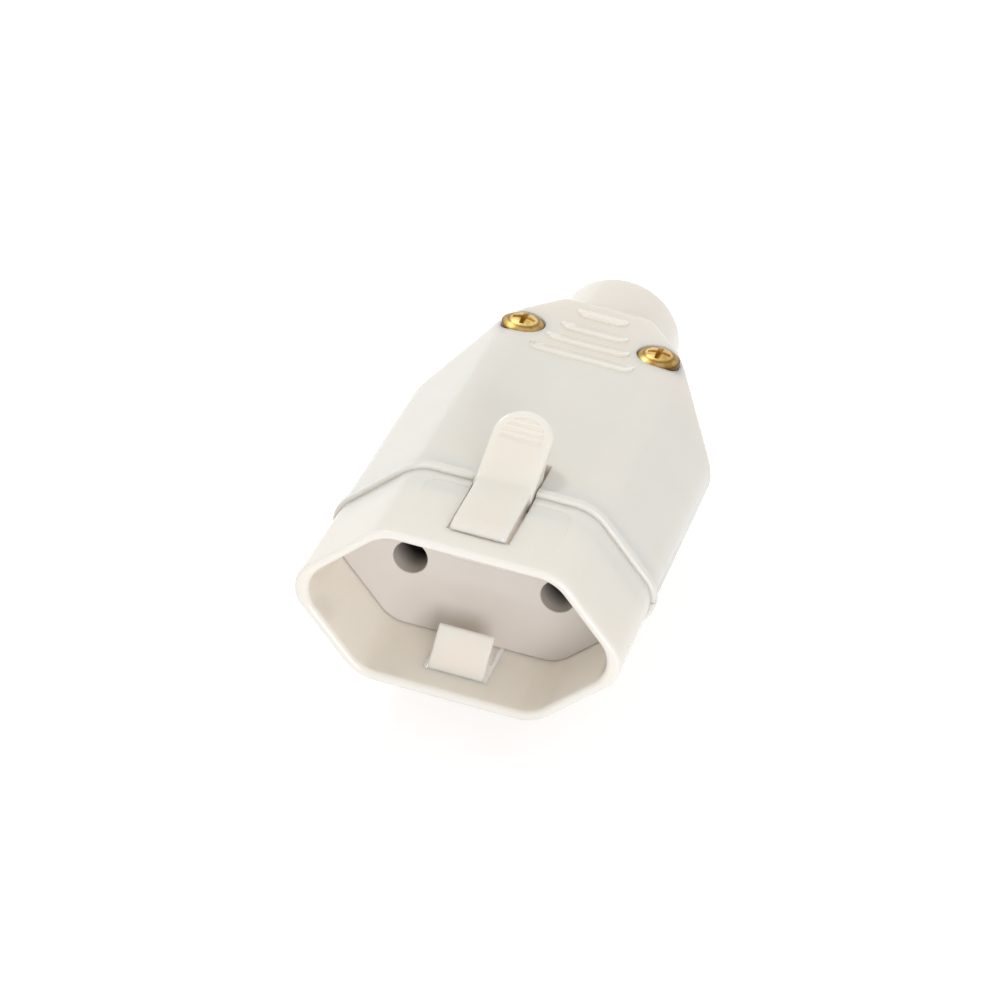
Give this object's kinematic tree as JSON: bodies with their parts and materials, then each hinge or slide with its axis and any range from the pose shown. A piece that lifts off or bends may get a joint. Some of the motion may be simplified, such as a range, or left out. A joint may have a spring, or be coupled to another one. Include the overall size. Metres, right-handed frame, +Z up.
{
  "type": "in-line socket",
  "caption": "In-line cord socket with a six-sided plug recess, round pin holes, sprung latch levers above and below, and a tapered two-part housing with a cord neck.",
  "frame": {"origin": "on the table, under the middle of the bounding box", "axes": "+Z up as it lies on a table, +Y from the plug recess to the cord neck, +X to the right when looking into the recess"},
  "size_m": [0.0418, 0.0846, 0.0335],
  "materials": {
    "housing": "moulded, glossy ivory",
    "carrier": "moulded, glossy ivory",
    "levers": "moulded, glossy ivory",
    "brass": "turned, bright",
    "steel": "zinc plated"
  },
  "bodies": {
    "housing": {"front_collar": "housing", "contact_carrier": "carrier", "upper_shell": "housing", "lower_shell": "housing", "upper_lever_pin": "steel", "upper_lever_spring": "steel", "lower_lever_pin": "steel", "lower_lever_spring": "steel", "left_contact": "brass", "left_contact_clip": "steel", "left_terminal_screw": "steel", "left_housing_screw": "brass", "left_housing_nut": "steel", "right_contact": "brass", "right_contact_clip": "steel", "right_terminal_screw": "steel", "right_housing_screw": "brass", "right_housing_nut": "steel"},
    "upper_lever": {"upper_lever": "levers"},
    "lower_lever": {"lower_lever": "levers"}
  },
  "joints": [
    {"name": "upper_lever_hinge", "type": "hinge", "parent": "housing", "child": "upper_lever", "pos_m": [0, -0.02299, 0.02599], "axis": [-1, 0, 0], "range_deg": [0, 18], "stiffness_Nm_per_rad": 0.02, "springref_deg": -34.38, "deforming": ["upper_lever_spring"]},
    {"name": "lower_lever_hinge", "type": "hinge", "parent": "housing", "child": "lower_lever", "pos_m": [0, -0.02537, 0.01025], "axis": [1, 0, 0], "range_deg": [0, 18], "stiffness_Nm_per_rad": 0.02, "springref_deg": -34.38, "deforming": ["lower_lever_spring"]}
  ]
}
